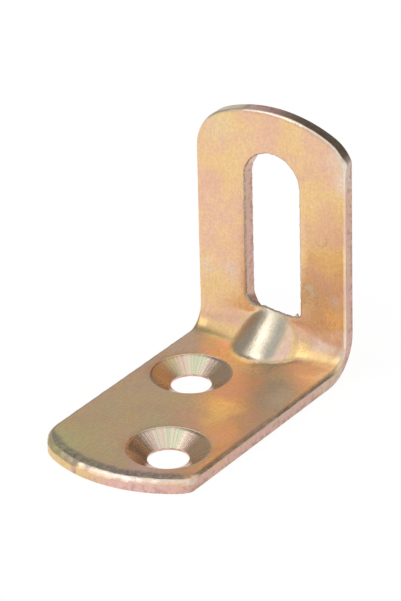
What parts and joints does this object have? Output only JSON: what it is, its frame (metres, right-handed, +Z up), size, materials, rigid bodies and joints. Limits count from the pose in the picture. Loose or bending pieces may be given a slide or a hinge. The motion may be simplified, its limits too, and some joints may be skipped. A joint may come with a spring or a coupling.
{
  "type": "furniture corner bracket",
  "caption": "Pressed steel L bracket with segmental ends, staggered countersunk screw holes, a long slot and a stiffening rib across the bend.",
  "frame": {"origin": "under the middle of the bracket's bounding box, on the plane that the base stands on", "axes": "+Z up along the slotted leg, +Y from the base's free end towards the slotted leg's outer face, +X across the strip"},
  "size_m": [0.0238, 0.0434, 0.0366],
  "materials": {
    "plated_steel": "zinc plated and yellow passivated, with a faint iridescent tint"
  },
  "bodies": {
    "root": {"corner_bracket": "plated_steel"}
  },
  "joints": []
}
